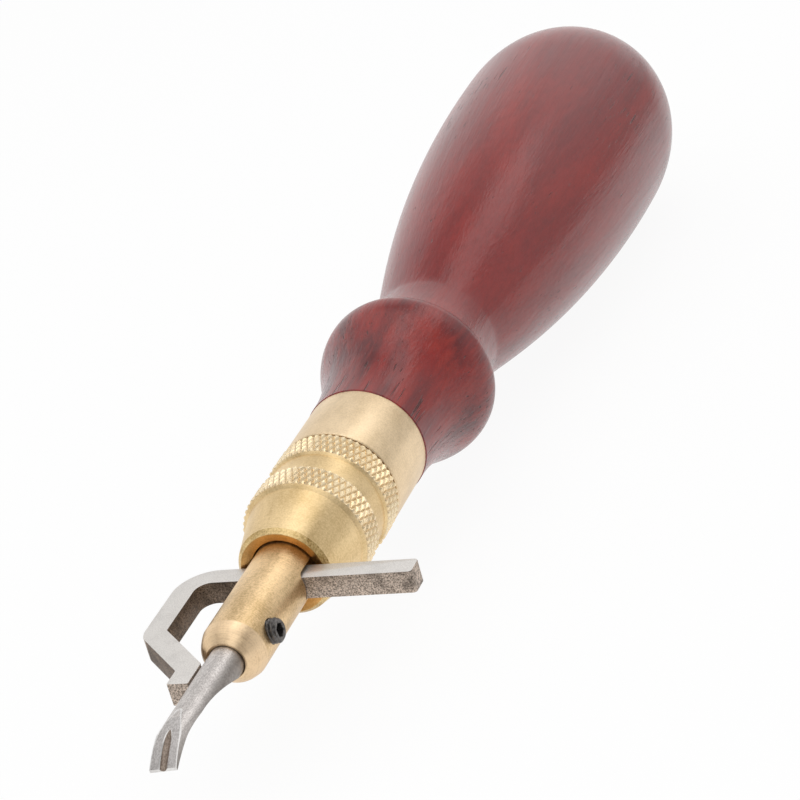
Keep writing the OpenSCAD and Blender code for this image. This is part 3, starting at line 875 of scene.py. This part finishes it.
# Painted highlight: the narrow chamfers along the edges and the front end are painted near-white.
tip.data.materials.append(steel(
    "tip_edge_highlight", light=(0.9, 0.88, 0.86, 1), dark=(0.75, 0.73, 0.71, 1), across=2000, along=2000,
    stain=0.1, roughness=0.3, metallic=1.0, depth=0.004))
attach(tip, "tip")
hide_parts("groover_tip")


# Set screw: a black-oxide grub screw with a hexagon socket, turned in until it grips the tip's shank.
# Its end stands proud of the spindle, so the first turns of the rolled thread show.
screw_in = 2.2
screw_len = 2.75
screw_r = 1.5
screw_chamfer = 0.3
thread_pitch = 0.5
thread_depth = 0.26
thread_root = 1.15
thread_slope = 1.5
hex_half = 0.75
hex_depth = 1.3
hex_lead = 0.09
hex_lead_grow = 1.1
hex_drill = 0.25
screw_steps = 96
thread_rows = 51


def hex_radius(angle):
    """Distance from the middle to the side of the hexagon socket."""
    return hex_half / math.cos((angle % (math.pi / 3)) - math.pi / 6)


screw_rows = []
screw_angles = [2 * math.pi * i / screw_steps for i in range(screw_steps)]
for k in range(thread_rows + 1):
    z = screw_len * k / thread_rows
    ring = []
    for i, angle in enumerate(screw_angles):
        phase = (z / thread_pitch - i / screw_steps) % 1.0
        r = screw_r - thread_depth * min(1.0, max(0.0, thread_root - abs(2 * phase - 1) * thread_slope))
        r = min(r, screw_r - screw_chamfer + z, screw_r - screw_chamfer + (screw_len - z))
        ring.append((r * math.cos(angle), r * math.sin(angle), z))
    screw_rows.append(ring)
for grow, drop in ((hex_lead_grow, 0.0), (1.0, hex_lead), (1.0, hex_depth)):
    ring = []
    for angle in screw_angles:
        r = hex_radius(angle) * grow
        ring.append((r * math.cos(angle), r * math.sin(angle), screw_len - drop))
    screw_rows.append(ring)
bm = bmesh.new()
loops = [[bm.verts.new(Vector(point) * mm) for point in ring] for ring in screw_rows]
for a, b in zip(loops, loops[1:]):
    for i in range(screw_steps):
        j = (i + 1) % screw_steps
        bm.faces.new((a[i], a[j], b[j], b[i]))
for loop, z in ((loops[0], 0.0), (loops[-1], screw_len - hex_depth - hex_drill)):
    middle = bm.verts.new((0, 0, z * mm))
    for i in range(screw_steps):
        bm.faces.new((loop[i], loop[(i + 1) % screw_steps], middle))
bm.transform(screw_side @ to_side @ Matrix.Translation((0, 0, screw_in * mm)))
screw = finished("grub_screw", bm, crease=35)
screw.data.materials.append(steel(
    "black_oxide", light=(0.2, 0.185, 0.175, 1), dark=(0.075, 0.07, 0.066, 1), across=2600, along=2600,
    stain=0.3, roughness=0.32, metallic=0.85, depth=0.01))
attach(screw, "screw")
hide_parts("set_screw")


# Studio: a white floor under the lying tool, one broad soft light above it and five small ones.
# The camera sees white all round, and the floor keeps a soft shadow. What the tool mirrors is graded as in
# a white booth with its open side in front: white at the back, darker in front and low on the right.
floor_gap = 0.3
floor_z = cad_box[0][2] - floor_gap * mm
floor_half = 3.0
open_side = (0.42, -0.9, 0)
beside_tool = (0.05, 0, floor_z)
bm = bmesh.new()
bmesh.ops.create_grid(bm, x_segments=1, y_segments=1, size=floor_half)
bm.transform(Matrix.Translation((0, 0, floor_z)))
floor = finished("floor", bm)
white = bpy.data.materials.new("white_floor")
white.use_nodes = True
tree = white.node_tree
tree.nodes.clear()
path = tree.nodes.new("ShaderNodeLightPath").outputs
place = tree.nodes.new("ShaderNodeTexCoord").outputs["Object"]
in_front = vectors(tree, "DOT_PRODUCT", place, open_side)["Value"]
on_right = add(tree, "ShaderNodeSeparateXYZ", {0: place}).outputs[0]
distance = vectors(tree, "DISTANCE", place, beside_tool)["Value"]
far_right = maths(tree, "MULTIPLY", levels(tree, on_right, 0.0, 0.08, 0.0, 0.65),
                  levels(tree, distance, 0.19, 0.27))
far_right = maths(tree, "MULTIPLY", far_right, path["Is Glossy Ray"])
kept = maths(tree, "SUBTRACT", 1.0, far_right)
mirrored = maths(tree, "MULTIPLY", levels(tree, in_front, -0.04, 0.09, 0.88, 0.12), kept)
mirrored = maths(tree, "MULTIPLY", mirrored, path["Is Glossy Ray"])
seen = maths(tree, "MAXIMUM", path["Is Camera Ray"], path["Is Transmission Ray"])
glow = maths(tree, "MAXIMUM", maths(tree, "MULTIPLY", seen, 0.93), mirrored)
matte = add(tree, "ShaderNodeBsdfDiffuse", {"Color": maths(tree, "MULTIPLY", kept, 0.9)}).outputs[0]
lit = add(tree, "ShaderNodeEmission", {"Color": (1, 1, 1, 1), "Strength": 1.0}).outputs[0]
shown = add(tree, "ShaderNodeMixShader", {0: glow, 1: matte, 2: lit}).outputs[0]
tree.links.new(shown, tree.nodes.new("ShaderNodeOutputMaterial").inputs[0])
floor.data.materials.append(white)

booth_opening = (0.385, -0.824, 0.416)
left_above = (-0.8, 0.0, 0.6)
world = bpy.data.worlds.new("studio")
bpy.context.scene.world = world
world.use_nodes = True
tree = world.node_tree
tree.nodes.clear()
path = tree.nodes.new("ShaderNodeLightPath").outputs
direction = tree.nodes.new("ShaderNodeTexCoord").outputs["Generated"]
to_opening = vectors(tree, "DOT_PRODUCT", direction, booth_opening)["Value"]
to_left = vectors(tree, "DOT_PRODUCT", direction, left_above)["Value"]
to_right, to_back, overhead = add(tree, "ShaderNodeSeparateXYZ", {0: direction}).outputs
low_right = maths(tree, "MULTIPLY", levels(tree, to_right, 0.2, 0.45, 0.0, 0.45),
                  levels(tree, overhead, 0.05, 0.45, 1.0, 0.0))
low_right = maths(tree, "MULTIPLY", low_right, levels(tree, to_back, 0.5, 0.75))
mirrored = maths(tree, "MULTIPLY", levels(tree, to_opening, -0.2, 0.75, 0.95, 0.3),
                 levels(tree, overhead, 0.5, 0.85, 1.0, 0.2))
mirrored = maths(tree, "MULTIPLY", mirrored, maths(tree, "SUBTRACT", 1.0, low_right))
mirrored = maths(tree, "MULTIPLY", mirrored, path["Is Glossy Ray"])
shown = maths(tree, "MAXIMUM", path["Is Camera Ray"], path["Is Transmission Ray"])
direct = maths(tree, "MAXIMUM", shown, path["Is Glossy Ray"])
around = maths(tree, "MULTIPLY", levels(tree, to_left, -0.8, 0.8, 0.16, 0.62),
               maths(tree, "SUBTRACT", 1.0, direct))
strength = maths(tree, "MAXIMUM", maths(tree, "MAXIMUM", shown, mirrored), around)
air = add(tree, "ShaderNodeBackground", {"Color": (1, 1, 1, 1), "Strength": strength}).outputs[0]
tree.links.new(air, tree.nodes.new("ShaderNodeOutputWorld").inputs[0])


def lamp(name, place, target, size, power):
    """Soft square light that faces a point, in metres and watts."""
    data = bpy.data.lights.new(name, "AREA")
    data.size = size
    data.energy = power
    made = bpy.data.objects.new(name, data)
    made.location = place
    made.rotation_euler = (Vector(target) - Vector(place)).to_track_quat("-Z", "Y").to_euler()
    bpy.context.collection.objects.link(made)


lamp("top", (0.0, -0.02, 0.55), (0, -0.02, 0), size=0.85, power=2.0)
lamp("key", (0.19, 0.43, 0.46), (0, 0.07, 0), size=0.28, power=0.25)
lamp("back", (0.05, 0.6, 0.36), (0, 0.06, 0), size=0.36, power=0.05)
lamp("spot", (0.05, 0.17, 0.5), (0, 0.06, 0), size=0.15, power=0.1)
lamp("front", (0.12, -0.36, 0.42), (0, 0, 0), size=0.3, power=0.28)
lamp("side", (0.42, -0.2, 0.16), (0, 0.02, 0), size=0.35, power=0.1)

camera = bpy.data.objects.new("camera", bpy.data.cameras.new("camera"))
camera.data.sensor_width = 36
camera.data.lens = 126
camera_place = Vector((0.14131, -0.23947, 0.15192))
right = Vector((0.91989, 0.30516, -0.24635)).normalized()
back = Vector((0.38472, -0.82413, 0.4157)).normalized()
up = back.cross(right)
facing = Matrix((right, up, back)).transposed()
camera.matrix_world = Matrix.Translation(camera_place) @ facing.to_4x4()
bpy.context.collection.objects.link(camera)
bpy.context.scene.camera = camera
bpy.context.scene.view_settings.view_transform = "Standard"
